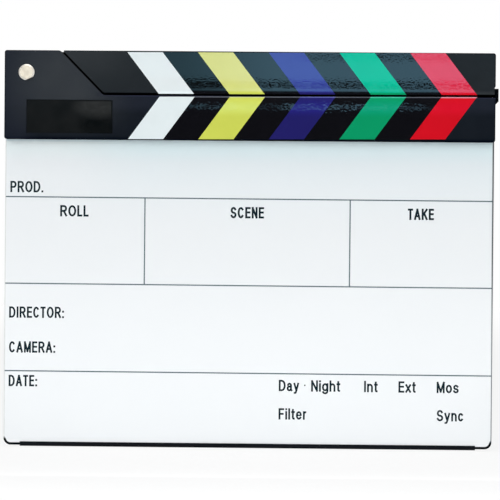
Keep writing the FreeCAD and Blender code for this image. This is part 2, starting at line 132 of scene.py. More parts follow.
class Finish(Nodes):
    """One node finish: a Principled shader whose sockets hold constants, or patterns worked out from Object
    coordinates."""

    def __init__(self, name, **sockets):
        """A new material of that name, whose shader's sockets, written with _ for a space, take their constants."""
        self.material = bpy.data.materials.new(name)
        self.material.use_nodes = True
        super().__init__(self.material.node_tree)
        self.shader = self.tree.nodes["Principled BSDF"]
        for socket, value in sockets.items():
            self.shader.inputs[socket.replace("_", " ")].default_value = value
        self.place = self.put("ShaderNodeTexCoord").outputs["Object"]

    def grain(self, size, detail, stretch=(1.0, 1.0, 1.0), warp=0.0):
        """Fractal noise from 0 to 1 whose blobs are about size metres across, drawn out along each axis by
        stretch."""
        scaled_place = self.vector("MULTIPLY", self.place, tuple(1.0 / (size * s) for s in stretch))
        feeds = {"Vector": scaled_place, "Scale": 1.0, "Detail": detail, "Distortion": warp}
        return self.put("ShaderNodeTexNoise", feeds).outputs[0]

    def cloud(self, size, detail):
        """Grain whose middle range is drawn out to soft clouds from 0 to 1."""
        return self.ease(self.grain(size, detail), *MIDDLE_GRAIN)

    def axes(self):
        """The place along x and along z."""
        parts = self.put("ShaderNodeSeparateXYZ", {0: self.place}).outputs
        return parts[0], parts[2]

    def feed(self, socket, pattern):
        """One of the shader's sockets takes its value from a pattern."""
        self.tree.links.new(pattern, self.shader.inputs[socket])

    def paint(self, colour):
        """The shader takes its colour from a pattern."""
        self.feed("Base Color", colour)

    def polish(self, value, low, high):
        """Roughness runs from low to high as a noise rises through its middle range."""
        self.feed("Roughness", self.ease(value, *MIDDLE_GRAIN, low, high))

    def relief(self, height, depth):
        """The surface is raised by height times depth metres."""
        bump = self.put("ShaderNodeBump", {"Height": height, "Distance": depth, "Strength": 1.0})
        self.feed("Normal", bump.outputs[0])


def rgb(red, green, blue):
    """A linear colour with full opacity."""
    return (red, green, blue, 1.0)


def scaled(colour, share):
    """A colour times a number."""
    return rgb(*[share * c for c in colour])


def added(colour, more, share=1.0):
    """A colour with a share of another one added."""
    return rgb(*[c + share * m for c, m in zip(colour, more)])


# The board's cut edge, which carries painted shade, in millimetres: the outline's distance at which it sets
# in and is full, and how much wider the shade shows below and at the right. The bands are heights in metres: of
# the lower corners, and of changes of tint, which are painted shade and light.
EDGE_START, EDGE_FULL, EDGE_BELOW, EDGE_RIGHT = 0.62, 0.32, 0.6, 0.22
CORNERS_END = (0.0028, 0.0045)
COOL_SHADE_BAND, PAINTED_LIGHT_BAND, PAINTED_SHADOW_LINE = (0.09, 0.15), (0.121, 0.1305), (0.1308, 0.1316)


def shaded_board_edge(f, x, z):
    """1 at the board's cut edge, where painted shade goes, as the distance to its rounded outline nears zero. That
    distance is length(max(q, 0)) + min(max(q), 0) - radius, where q is how far a place lies beyond the corners'
    centres."""
    across = f.less(f.sum("ABSOLUTE", x), (BOARD_HALF_WIDTH - BOARD_CORNER) * MM)
    half_height = (0.5 * (BOARD_HEAD - BOARD_FOOT) - BOARD_CORNER) * MM
    up = f.less(f.off(z, 0.5 * (BOARD_FOOT + BOARD_HEAD) * MM), half_height)
    corner = f.put("ShaderNodeCombineXYZ", {0: f.larger(across), 1: f.larger(up)}).outputs[0]
    outline = f.sum("ADD", f.vector("LENGTH", corner), f.sum("MINIMUM", f.larger(across, up)))
    below = f.ease(z, *CORNERS_END, EDGE_BELOW * MM, 0.0)
    right = f.times(f.ease(x, 0.05, 0.1), f.ease(z, 0.02, 0.1, 0.0, EDGE_RIGHT * MM))
    rim = f.sum("ADD", outline, f.sum("ADD", below, right))
    return f.ease(rim, (BOARD_CORNER - EDGE_START) * MM, (BOARD_CORNER - EDGE_FULL) * MM)


def slate_acrylic():
    """Cool white acrylic: a cloudy tint and wiped streaks in the gloss. Painted shade tints it cooler towards the
    sticks, less so at the left; painted light brightens it just under them, and a painted shadow line lies right
    under their foot. Its cut edge carries painted shade: dark and dull below, grey at the right, darker upwards,
    and light grey at the left."""
    f = Finish("slate_acrylic", Roughness=0.3, IOR=1.49)
    x, z = f.axes()
    streak = f.grain(0.006, 4.0, (5.0, 1.0, 1.0), 0.6)
    left = f.ease(x, -0.04, -0.085)
    white = f.blend(f.cloud(0.05, 3.0), rgb(0.9, 0.921, 0.932), rgb(0.906, 0.925, 0.936))
    # Painted shade: a cool tint towards the sticks, where the board lies in their shade.
    cool = f.blend(left, rgb(0.825, 0.92, 0.95), rgb(0.9, 0.94, 0.96))
    # Painted light: brighter just under the sticks, lifting the shade there.
    lit_under_sticks = f.blend(left, rgb(0.83, 0.975, 1.0), rgb(0.91, 0.995, 1.0))
    face = f.blend(f.ease(z, *COOL_SHADE_BAND), white, cool)
    face = f.blend(f.ease(z, *PAINTED_LIGHT_BAND), face, lit_under_sticks)
    face = f.blend(f.ease(streak, 0.6, 0.9, 0.0, 0.06), face, rgb(0.87, 0.905, 0.925))
    # Painted shadow: a darker line right under the sticks' foot.
    face = f.blend(f.ease(z, *PAINTED_SHADOW_LINE), face, rgb(0.7, 0.82, 0.86))
    # Painted shade on the cut edge: grey at the right, darker upwards, near black along the bottom, light grey at
    # the left.
    right = f.blend(f.ease(z, 0.03, 0.1), rgb(0.2, 0.22, 0.25), rgb(0.06, 0.07, 0.08))
    side = f.blend(f.ease(x, -0.02, 0.02), rgb(0.8, 0.81, 0.8), right)
    cut = f.blend(f.ease(z, *CORNERS_END), rgb(0.002, 0.004, 0.006), side)
    edge = shaded_board_edge(f, x, z)
    f.paint(f.blend(edge, face, cut))
    dull = f.times(edge, f.ease(z, *CORNERS_END[::-1]))
    f.feed("Specular IOR Level", f.ease(dull, 0.0, 0.7, 0.5, 0.0))
    f.polish(streak, 0.28, 0.3)
    f.relief(f.grain(0.012, 2.0), 2e-6)
    return f.material


# The sticks' plastic, as dark tone, light tone, painted lift and sheen. The upper stick's tones are lighter than
# the lower one's: painted light. The lift paints it paler, and the sheen is a painted bluish reflection.
PLASTIC_TONES = {
    "upper_stick": ((0.0115, 0.0147, 0.0178), (0.0145, 0.018, 0.0212), (0.0165, 0.017, 0.0175), None),
    "front_bar": (
        (0.0017, 0.0036, 0.0078), (0.0035, 0.0058, 0.0104), (0.0345, 0.0372, 0.0382), (0.0055, 0.006, 0.0105),
    ),
    "rear_bar": ((0.005, 0.006, 0.0095), (0.007, 0.0085, 0.012), (0.0, 0.0, 0.0), (0.0, 0.0, 0.0)),
}
# Near black painted shade in the gaps at the hinge and along the upper stick's foot.
SHADE_BLACK = rgb(0.0003, 0.0003, 0.0004)
HANDLED_SPECULAR, HANDLED_COAT = 0.065, 0.09
LOWER_GLINT, UPPER_GLINT = 4.6, 0.75
UPPER_FOOT_TILT = 0.002

# Where the plastic's finish changes, in metres: each band runs from where a change starts to where it is full.
PARTING, PARTING_BAND, PARTING_START = 0.1513, (0.0012, 0.0007), (-0.0665, -0.0645)
GLOSS_FOOT, GLOSS_TOP, GLOSS_ENDS = (0.1324, 0.1336), (0.1698, 0.1694), (0.1047, 0.1042)
GAP_RIGHT, GAP_LEFT, GAP_FOOT = (0.0009, 0.0004), (-0.0006, -0.0004), (0.1512, 0.1516)
FOOT_SHADE, FOOT_SHADE_START = (0.1523, 0.15195), (-0.066, -0.064)
# The glints are painted highlights, and the sheen a painted bluish reflection.
FOOT_GLINT, FOOT_GLINT_START = (0.154, 0.1526), (0.07, 0.085)
TOP_GLINT, TOP_GLINT_START = (0.1501, 0.1509), (-0.066, -0.062)
SHEEN_UPWARDS, SHEEN_LEFT, SHEEN_LEFT_SHARE = (0.1425, 0.1472), (-0.088, -0.1), 0.8
# Where painted light makes the plastic paler: round the hinge on the lower stick, upwards and hingewards on the
# upper.
LIT_MIDDLE, LIT_REACH, LIT_FOOT = (-0.079, -0.0065, 0.158), (0.036, 0.004), (0.1315, 0.1385)
LIT_UPWARDS, LIT_HINGEWARDS = (0.1505, 0.1695), (-0.042, -0.072)


def hinge_gap_shade(f, x, z):
    """1 where painted shade goes: in the slanted gap at the hinge, along x + slope * z = line and above the
    parting.
    """
    slant = f.less(f.sum("ADD", x, f.times(z, SHOULDER_SLOPE)), SHOULDER_LINE * MM)
    gap = f.times(f.ease(slant, *GAP_RIGHT), f.ease(slant, *GAP_LEFT))
    return f.times(gap, f.ease(z, *GAP_FOOT))


def handled_gloss(f, x, z, gap_shade):
    """1 on the sticks' faces, but 0 along the parting, at the lower stick's foot, on the top edge, at the ends and
    where painted shade blackens it."""
    parted = f.times(f.ease(x, *PARTING_START), f.ease(f.off(z, PARTING), *PARTING_BAND))
    level = f.times(f.ease(z, *GLOSS_FOOT), f.ease(z, *GLOSS_TOP))
    faces = f.times(level, f.ease(f.sum("ABSOLUTE", x), *GLOSS_ENDS))
    return f.times(faces, f.less(1.0, f.larger(parted, gap_shade)))


def stick_plastic(name, dark, light, painted_lift, sheen):
    """Moulded black plastic: mottled between two tones, a dull pebbled body, and a thin handled gloss over its
    faces. Painted shade makes it black in the gap at the hinge and along the upper stick's foot, which has a
    painted highlight at the right. Painted light makes it paler by the third colour, on the upper stick towards its
    top and the hinge, on the lower one round the hinge, fading out with the distance from there. sheen, which the
    upper stick lacks, is a painted bluish reflection added to the lower one's upper half and left end, and several
    times as much is a painted highlight along its top edge."""
    f = Finish(name, Coat_Roughness=0.17)
    x, z = f.axes()
    # Painted shade in the slanted gap at the hinge.
    gap_shade = hinge_gap_shade(f, x, z)
    body = f.blend(f.cloud(0.02, 4.0), rgb(*dark), rgb(*light))
    if sheen:
        # Painted bluish reflection on the lower stick's upper half and left end.
        shiny = f.larger(f.ease(z, *SHEEN_UPWARDS), f.ease(x, *SHEEN_LEFT, 0.0, SHEEN_LEFT_SHARE))
        body = f.blend(shiny, body, added(light, sheen))
        # Painted highlight along the lower stick's top edge.
        glint = f.times(f.ease(z, *TOP_GLINT), f.ease(x, *TOP_GLINT_START))
        body = f.blend(glint, body, added(light, sheen, LOWER_GLINT))
        distance = f.vector("DISTANCE", f.place, LIT_MIDDLE)
        spread = f.times(f.ease(distance, *LIT_REACH), f.ease(z, *LIT_FOOT))
    else:
        level = f.less(z, f.times(x, UPPER_FOOT_TILT))
        # Painted shade along the upper stick's foot.
        gap_shade = f.larger(gap_shade, f.times(f.ease(level, *FOOT_SHADE), f.ease(x, *FOOT_SHADE_START)))
        # Painted highlight above the upper stick's foot at the right.
        glint = f.times(f.ease(level, *FOOT_GLINT), f.ease(x, *FOOT_GLINT_START))
        body = f.blend(glint, body, added(light, painted_lift, UPPER_GLINT))
        spread = f.times(f.ease(z, *LIT_UPWARDS), f.ease(x, *LIT_HINGEWARDS))
    # Painted light, broken up by noise: paler towards the top and round the hinge.
    lit_share = f.times(spread, f.ease(f.grain(0.012, 3.0), 0.2, 0.8, 0.75, 1.0))
    body = f.blend(lit_share, body, added(light, painted_lift))
    # Painted shade, near black, in the gaps.
    f.paint(f.blend(gap_shade, body, SHADE_BLACK))
    gloss = handled_gloss(f, x, z, gap_shade)
    f.feed("Specular IOR Level", f.ease(gloss, 0.0, 1.0, 0.0, HANDLED_SPECULAR))
    f.feed("Coat Weight", f.ease(gloss, 0.0, 1.0, 0.0, HANDLED_COAT))
    f.polish(f.grain(0.006, 3.0), 0.52, 0.66)
    f.relief(f.grain(0.0007, 3.0), 3e-5)
    return f.material


# The film's colours by stick, the coloured upper ones lightened by a painted reflection; the lower film's folded
# edge, paler by a painted highlight; and each colour's gloss. A film's ripples have a size, a stretch along each
# axis, a height at which they set in and a depth, lengths in metres.
FILM_COLOURS = {
    "upper": {
        "white": (0.87, 0.92, 0.92), "yellow": (0.78, 0.785, 0.245), "blue": (0.036, 0.048, 0.34),
        "green": (0.0, 0.57, 0.355), "red": (0.82, 0.025, 0.075), "black": (0.004, 0.0055, 0.006),
    },
    "lower": {
        "white": (0.867, 0.94, 0.95), "yellow": (0.685, 0.74, 0.113), "blue": (0.019, 0.0165, 0.143),
        "green": (0.004, 0.335, 0.136), "red": (0.725, 0.0073, 0.0185), "black": (0.0055, 0.0055, 0.0075),
    },
}
# Painted highlight: the paler colours of the lower film's folded edge.
FOLD_HIGHLIGHTS = {
    "white": (0.88, 0.96, 0.97), "yellow": (0.8, 0.86, 0.36), "blue": (0.09, 0.105, 0.42),
    "green": (0.06, 0.66, 0.44), "red": (0.9, 0.3, 0.39), "black": (0.07, 0.08, 0.105),
}
FILM_GLOSS = {"white": 0.5, "yellow": 0.5, "blue": 0.45, "green": 0.22, "red": 0.45, "black": 0.5}
RIPPLES = {
    "upper": (0.00075, (1.3, 1.0, 0.85), 0.1537, 2.1e-6),
    "lower": (0.00105, (0.85, 1.0, 0.95), 0.0, 2.2e-6),
}
RIPPLE_RISE = 0.0012
# The tint of the painted bluish reflection on the lower films, and the slope of the painted shade along their foot.
COOL_REFLECTION = (1.12, 1.16, 1.5)
LOWER_FOOT_TILT = 0.0066


def lower_film(f, tone, colour):
    """The lower film's tones: painted light brightens its own colour upwards, a painted bluish reflection lies in
    its upper half unless it is white or black, and it turns to the fold's colour, a painted highlight, past the
    line
    LIP_FOOT + LOWER_TILT * (x - LOWER_START). Pale film ends in a painted dark rim of shade at the parting, and
    all film has near black painted shade along its foot."""
    own, fold_highlight = FILM_COLOURS["lower"][colour], FOLD_HIGHLIGHTS[colour]
    x, z = f.axes()
    level = f.less(z, f.times(x, LOWER_TILT))
    fold = (LIP_FOOT - LOWER_TILT * LOWER_START) * MM
    # Painted light: the film's colour brightens upwards.
    bright = 1.03 if min(own) > 0.5 else 1.12
    lit_upwards = rgb(*[0.001 + bright * c for c in own])
    tone = f.blend(f.ease(level, fold - 0.008, fold - 0.001), tone, lit_upwards)
    if max(own) - min(own) > 0.1:
        # Painted bluish reflection in the upper half.
        band = f.ease(f.off(level, fold - 0.0044), 0.0044, 0.0005)
        tone = f.blend(band, tone, rgb(*[tint * c for tint, c in zip(COOL_REFLECTION, own)]))
    # Painted highlight on the fold.
    tone = f.blend(f.ease(level, fold - 0.0003, fold), tone, rgb(*fold_highlight))
    # Painted shade: a dark rim where pale film meets the parting.
    if own[1] > 0.5:
        tone = f.blend(f.ease(level, fold + 0.0001, fold + 0.00018), tone, rgb(0.02, 0.02, 0.02))
    # Painted shade, near black, along the film's foot.
    foot = f.less(z, f.times(x, LOWER_FOOT_TILT))
    return f.blend(f.ease(foot, 0.13258, 0.1325), tone, rgb(0.006, 0.007, 0.006))


def upper_film(f, tone, colour):
    """The upper film's tones: lightened by a painted reflection, which fades downwards to the lower film's colour,
    a tenth brighter, by a quarter at first and wholly along the parting."""
    _, z = f.axes()
    # The painted reflection fades out downwards.
    veil_fade = f.larger(f.ease(z, 0.1585, 0.1545, 0.0, 0.25), f.ease(z, 0.1533, 0.1525))
    return f.blend(veil_fade, tone, scaled(FILM_COLOURS["lower"][colour], 1.1))


def stripe_film(stick, colour):
    """Gloss adhesive film: its colour drifts by a few percent, and it lies in shallow ripples a millimetre apart,
    which die out along the upper stick's foot."""
    own = FILM_COLOURS[stick][colour]
    f = Finish(f"{stick}_film_{colour}", IOR=1.5, Specular_IOR_Level=FILM_GLOSS[colour])
    tone = f.blend(f.cloud(0.015, 3.0), rgb(*own), scaled(own, 1.04))
    f.paint(lower_film(f, tone, colour) if stick == "lower" else upper_film(f, tone, colour))
    f.polish(f.grain(0.003, 3.0), 0.008, 0.016)
    size, stretch, start, depth = RIPPLES[stick]
    ripple = f.less(f.grain(size, 0.5, stretch), 0.5)
    f.relief(f.times(ripple, f.ease(f.axes()[1], start, start + RIPPLE_RISE)), depth)
    return f.material


# The hinge's bright head: its colour and its painted highlight, the pitch of its turned rings in metres, and
# the way to its painted shadow crescent.
NICKEL, NICKEL_HIGHLIGHT = (0.77, 0.67, 0.54), (0.97, 0.93, 0.85)
RING_PITCH = 0.00035
CRESCENT_X, CRESCENT_Z = 0.42, 0.91


def hinge_nickel():
    """Turned bright metal: rings about the hinge's axis, from the sine of the radius over the pitch, with a cloudy
    lustre. Its rim has a painted highlight, apart from a painted shadow crescent at the lower right."""
    f = Finish("hinge_nickel", Metallic=1.0, Roughness=0.4)
    from_axis = f.vector("SUBTRACT", f.place, (PIVOT[0] * MM, 0.0, PIVOT[1] * MM))
    flat = f.vector("MULTIPLY", from_axis, (1.0, 0.0, 1.0))
    radius = f.vector("LENGTH", flat)
    metal = f.blend(f.cloud(0.002, 3.0), scaled(NICKEL, 0.82), rgb(*NICKEL))
    # Painted highlight on the rim.
    rim = f.blend(f.ease(radius, 0.0026, 0.0031), metal, rgb(*NICKEL_HIGHLIGHT))
    # Painted shadow: a dark crescent at the lower right of the rim.
    parts = f.put("ShaderNodeSeparateXYZ", {0: flat}).outputs
    low = f.less(f.times(parts[0], CRESCENT_X), f.times(parts[2], CRESCENT_Z))
    f.paint(f.blend(f.ease(low, 0.0027, 0.0032), rim, rgb(0.02, 0.02, 0.016)))
    f.polish(f.grain(0.0012, 2.0), 0.34, 0.48)
    f.relief(f.sum("SINE", f.times(radius, 2.0 * math.pi / RING_PITCH)), 1.5e-6)
    return f.material


def screw_zinc():
    """Zinc plated steel: a cloudy passivated colour with specks of dulled plating."""
    f = Finish("screw_zinc", Metallic=1.0, Roughness=0.34)
    f.paint(f.blend(f.cloud(0.003, 4.0), rgb(0.62, 0.62, 0.63), rgb(0.62, 0.6014, 0.567)))
    f.polish(f.grain(0.0008, 3.0), 0.26, 0.48)
    f.relief(f.grain(0.0005, 2.0), 4e-6)
    return f.material


def washer_nylon():
    """Natural nylon: milky colour with a slight bloom and light let in below the skin."""
    f = Finish("washer_nylon", Roughness=0.4, Subsurface_Weight=0.2, Subsurface_Scale=0.0008)
    bloom = f.cloud(0.002, 3.0)
    f.paint(f.blend(bloom, rgb(0.66, 0.65, 0.6), rgb(0.74, 0.73, 0.69)))
    f.polish(bloom, 0.34, 0.5)
    f.relief(f.grain(0.0006, 2.0), 6e-6)
    return f.material


def edge_trim(name, sheen):
    """Satin black edging: drawn out along its length, with a rubbed sheen."""
    f = Finish(name, Roughness=0.42, Specular_IOR_Level=sheen)
    drawn = f.grain(0.002, 4.0, (12.0, 1.0, 1.0))
    f.paint(f.blend(f.ease(drawn, *MIDDLE_GRAIN), rgb(0.0025, 0.0035, 0.0055), rgb(0.005, 0.0065, 0.009)))
    f.polish(drawn, 0.34, 0.5)
    f.relief(drawn, 8e-6)
    return f.material


# The label's clouds of painted reflection: their middles in millimetres, and the distances in metres at which they
# begin and are full.
PALE_REFLECTION, DARK_REFLECTION = (-65.0, 146.5), (-63.5, 137.5)
CLOUD_REACH = (0.0135, 0.005)


def label_gloss():
    """Bare gloss black plate: deep colour with painted reflections, a paler smudged cloud at the upper right and a
    deeper one below it, a dark rim of painted shade where the pale cloud stops short of the edge, and a gloss
    dulled in patches. A cloud fades with the distance from its middle, in which heights count double."""
    f = Finish("label_gloss", Roughness=0.2, Specular_IOR_Level=0.1)
    x, z = f.axes()
    across, up = f.off(x, LABEL_MIDDLE[0] * MM), f.off(z, LABEL_MIDDLE[1] * MM)
    inner = f.times(f.ease(across, 0.0181, 0.0176), f.ease(up, 0.0068, 0.0063))
    oval = f.vector("MULTIPLY", f.place, (1.0, 0.0, 2.0))

    def round_place(middle):
        """1 round a place on the plate, fading to 0."""
        far = f.vector("DISTANCE", oval, (middle[0] * MM, 0.0, 2.0 * middle[1] * MM))
        return f.ease(far, *CLOUD_REACH)

    smudge = f.ease(f.grain(0.004, 3.0, (1.3, 1.0, 0.8), 0.8), *MIDDLE_GRAIN, 0.65, 1.0)
    # Painted reflection: the pale cloud, kept off a thin rim of painted shade at the plate's edge.
    pale = f.times(f.times(round_place(PALE_REFLECTION), smudge), inner)
    # Painted reflection: deeper towards the lower cloud's middle, paler round it.
    deep = f.blend(round_place(DARK_REFLECTION), rgb(0.0062, 0.0066, 0.0066), rgb(0.0014, 0.0016, 0.0016))
    f.paint(f.blend(pale, deep, rgb(0.028, 0.0285, 0.028)))
    f.polish(f.grain(0.006, 2.0), 0.16, 0.26)
    f.relief(f.grain(0.006, 1.5), 4e-6)
    return f.material


def print_ink(name, full, faint):
    """Screen print ink: a full tone that thins to a fainter one in specks."""
    f = Finish(name, Roughness=0.5, Specular_IOR_Level=0.1)
    thin = f.grain(0.0006, 3.0)
    f.paint(f.blend(f.ease(thin, 0.45, 0.8), rgb(*full), rgb(*faint)))
    f.polish(thin, 0.42, 0.6)
    return f.material


plastics = {piece: stick_plastic(f"{piece}_plastic", *tones) for piece, tones in PLASTIC_TONES.items()}
films = {stick: {colour: stripe_film(stick, colour) for colour in own} for stick, own in FILM_COLOURS.items()}


def dress_nodes():
    """Each node takes the finish of its piece. A stripe takes the film of its stick and colour."""
    screw, nylon = screw_zinc(), washer_nylon()
    finishes = {
        **plastics, "board": slate_acrylic(), "clamp_screws": screw, "hinge_screw": screw,
        "bottom_trim": edge_trim("edge_trim", 0.04), "end_catch": edge_trim("catch_matt", 0.0),
        "name_label": label_gloss(), "hinge_barrel": hinge_nickel(),
        "front_hinge_washer": nylon, "rear_hinge_washer": nylon,
    }
    for stick, own in films.items():
        finishes.update({f"{stick}_stripe_{stripe}": own[stripe.split("_")[0]] for stripe in STRIPES})
    for name, finish in finishes.items():
        nodes[name].data.materials.clear()
        nodes[name].data.materials.append(finish)


def new_object(name, points, faces, finish):
    """An object at the origin with a mesh of points in metres and a finish."""
    mesh = bpy.data.meshes.new(name)
    mesh.from_pydata(points, [], faces)
    mesh.validate()
    mesh.materials.append(finish)
    made = bpy.data.objects.new(name, mesh)
    bpy.context.scene.collection.objects.link(made)
    return made


def new_piece(name, points, faces, finish, body, slot):
    """A closed mesh from arrays of points in metres and triangles, riding on a body."""
    piece = new_object(name, points.tolist(), faces.tolist(), finish)
    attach(piece, body)


def halved(quads):
    """Each quad of corner numbers as two triangles."""
    return np.concatenate([quads[:, [0, 1, 2]], quads[:, [0, 2, 3]]])


def film_lips():
    """The lower film's upper edge folded over the stick: a quarter turn of radius LIP_RADIUS from the front face to
    the top, one film thick, which carries each stripe's lean on along the length of the turn and rises along the
    stick by the film's tilt. Its section runs along the outside and back along the inside, at either end."""
    turn = np.linspace(0.0, 0.5 * np.pi, LIP_STEPS)
    radii = np.array([[LIP_RADIUS], [LIP_RADIUS - FILM_THICKNESS]])
    shift = np.broadcast_to(LOWER_LEAN / LOWER_HEIGHT * LIP_RADIUS * turn, (2, LIP_STEPS))
    depth, height = LIP_DEPTH - radii * np.cos(turn), LIP_FOOT + radii * np.sin(turn)
    walls = np.stack([shift, depth, height], axis=-1)
    ring = np.concatenate([walls[0], walls[1, ::-1]])
    count = len(ring)
    index = np.arange(2 * count).reshape(2, count)
    following = np.roll(index, -1, axis=1)
    sides = np.stack([index[0], following[0], following[1], index[1]], axis=-1)
    step = np.arange(LIP_STEPS - 1)
    ends = np.stack([step, count - 1 - step, count - 2 - step, step + 1], axis=-1)
    faces = halved(np.concatenate([sides, ends, count + ends[:, ::-1]]))
    for number, stripe in enumerate(STRIPES):
        colour = stripe.split("_")[0]
        left = LOWER_START + LOWER_LEAN + LOWER_PITCH * number
        points = np.concatenate([ring + [left, 0.0, 0.0], ring + [left + LOWER_PITCH, 0.0, 0.0]])
        points[:, 2] += LOWER_TILT * (points[:, 0] - LOWER_START)
        new_piece(f"lower_lip_{stripe}", points * MM, faces, films["lower"][colour], "slate", f"film_{colour}")


def sliver(across, low, high, front, back):
    """A closed sliver: at each place across a rectangle from low to high and from front to back, in millimetres."""
    corners = ((front, low), (back, low), (back, high), (front, high))
    edges = [[across, np.full_like(across, y), np.broadcast_to(z, across.shape)] for y, z in corners]
    rings = np.stack([np.stack(edge, axis=-1) for edge in edges], axis=1)
    index = np.arange(4 * len(across)).reshape(-1, 4)
    following = np.roll(index, -1, axis=1)
    sides = np.stack([index[:-1], following[:-1], following[1:], index[1:]], axis=-1).reshape(-1, 4)
    return rings.reshape(-1, 3), halved(np.concatenate([sides, index[:1, ::-1], index[-1:]]))


def joined(shapes):
    """Several shapes' points, from millimetres to metres, and triangles as one shape's."""
    counts = np.cumsum([0] + [len(points) for points, _ in shapes])
    points = np.concatenate([points for points, _ in shapes]) * MM
    return points, np.concatenate([faces + n for (_, faces), n in zip(shapes, counts)])


def parting_shade_slivers():
    """Dark slivers riding on the rear bar, put where the ends of the parting show only shade: they keep light from
    showing through there. The left one rises to just below the upper stick's rounded shoulder, whose height is
    centre - sqrt(radius^2 - (x - centre)^2), and the right one stands beside the stick's end, behind the catch."""
    left, left_foot, left_head, clearance = np.linspace(-62.5, -60.6, 9), 151.4, 151.85, 0.06
    right, right_foot, right_head = np.array([104.67, 105.4]), 150.9, 152.65
    left_depths, right_depths = (2.4, 6.0), (4.03, 6.1)
    shoulder = SHOULDER_CENTRE[1] - np.sqrt(SHOULDER_RADIUS ** 2 - (left - SHOULDER_CENTRE[0]) ** 2)
    both = [
        sliver(left, left_foot, np.minimum(shoulder, left_head) - clearance, *left_depths),
        sliver(right, right_foot, right_head, *right_depths),
    ]
    new_piece("parting_shade_slivers", *joined(both), plastics["rear_bar"], "slate", "stick_black")


def arc(centre_x, centre_z, half_width, half_height, start, end):
    """Points along part of an ellipse, from the start angle to the end angle in degrees, at most 15 apart."""
    turn = np.radians(np.linspace(start, end, 2 + int(abs(end - start) / 15.0)))
    return np.stack([centre_x + half_width * np.cos(turn), centre_z + half_height * np.sin(turn)], axis=-1)


def line(*points):
    """Points of a straight or bent stroke."""
    return np.array(points)


def chain(*runs):
    """One stroke from several runs of points."""
    return np.concatenate(runs)


def bowl(height, start=0.0, end=360.0):
    """A round letter's stroke: an ellipse that fills the letter's width, as high as the capitals times height."""
    return arc(0.5, 0.5 * height, 0.5, 0.5 * height, start, end)


def double_curve(height):
    """The stroke of an S: an upper arc turning left and a lower one turning right, joined at the middle."""
    upper = arc(0.5, 0.745 * height, 0.46, 0.255 * height, 25.0, 270.0)
    lower = arc(0.5, 0.245 * height, 0.5, 0.245 * height, 90.0, -160.0)
    return chain(upper, lower[1:])


# Each letter's width as a share of the cap height, and its strokes in shares of its width and of the cap height.
SMALL = 0.7
STEM = line((0, 0), (0, 1))
SMALL_STEM = line((0, 0), (0, SMALL))
ARCH = chain(arc(0.5, 0.42, 0.5, 0.28, 180.0, 0.0), line((1.0, 0.0)))
LETTERS = {
    "P": (0.52, STEM, chain(line((0, 1)), arc(0.55, 0.73, 0.45, 0.27, 90, -90), line((0, 0.46)))),
    "R": (0.55, STEM, chain(line((0, 1)), arc(0.55, 0.74, 0.42, 0.26, 90, -90), line((0, 0.48))),
          line((0.52, 0.48), (1, 0))),
    "O": (0.62, bowl(1.0)),
    "D": (0.57, STEM, chain(line((0, 1)), arc(0.4, 0.5, 0.6, 0.5, 90, -90), line((0, 0)))),
    "L": (0.41, line((0, 1), (0, 0)), line((0, 0), (1, 0))),
    "S": (0.51, double_curve(1.0)),
    "C": (0.55, bowl(1.0, 45, 315)),
    "E": (0.46, STEM, line((0, 1), (1, 1)), line((0, 0.53), (0.93, 0.53)), line((0, 0), (1, 0))),
    "F": (0.44, STEM, line((0, 1), (1, 1)), line((0, 0.5), (0.85, 0.5))),
    "N": (0.5, STEM, line((0, 1), (1, 0)), line((1, 0), (1, 1))),
    "T": (0.46, line((0, 1), (1, 1)), line((0.5, 1), (0.5, 0))),
    "A": (0.57, line((0, 0), (0.5, 1)), line((0.5, 1), (1, 0)), line((0.17, 0.3), (0.83, 0.3))),
    "K": (0.53, STEM, line((1, 1), (0, 0.36)), line((0.36, 0.6), (1, 0))),
    "I": (0.0, STEM),
    "M": (0.61, STEM, line((0, 1), (0.5, 0.05)), line((0.5, 0.05), (1, 1)), line((1, 1), (1, 0))),
    ".": (0.0, line((0, 0), (0, 0.01))),
    ":": (0.0, line((0, 0), (0, 0.01)), line((0, 0.58), (0, 0.59))),
    "a": (0.47, chain(arc(0.47, 0.5, 0.4, 0.2, 160, 0), line((0.87, 0.1), (1, 0))),
          chain(line((0.87, 0.42)), arc(0.42, 0.2, 0.42, 0.2, 90, 320))),
    "y": (0.46, line((0, SMALL), (0.5, 0.03)), line((1, SMALL), (0.42, -0.18), (0.3, -0.27), (0.08, -0.27))),
    "i": (0.0, SMALL_STEM, line((0, 0.99), (0, 1))),
    "g": (0.47, arc(0.48, 0.37, 0.48, 0.33, 0, 360),
          chain(line((1, SMALL)), arc(0.5, -0.05, 0.5, 0.22, 0, -155))),
    "h": (0.44, STEM, ARCH),
    "t": (0.29, chain(line((0.42, 0.93)), arc(0.9, 0.16, 0.48, 0.16, 180, 275)), line((0, SMALL), (1, SMALL))),
    "n": (0.44, SMALL_STEM, ARCH),
    "x": (0.45, line((0, 0), (1, SMALL)), line((0, SMALL), (1, 0))),
    "o": (0.48, bowl(SMALL)),
    "s": (0.44, double_curve(SMALL)),
    "l": (0.0, STEM),
    "e": (0.46, chain(line((0.04, 0.37)), bowl(SMALL, 2, 320))),
    "r": (0.27, SMALL_STEM, arc(0.85, 0.36, 0.85, 0.34, 180, 80)),
    "c": (0.44, bowl(SMALL, 45, 315)),
}


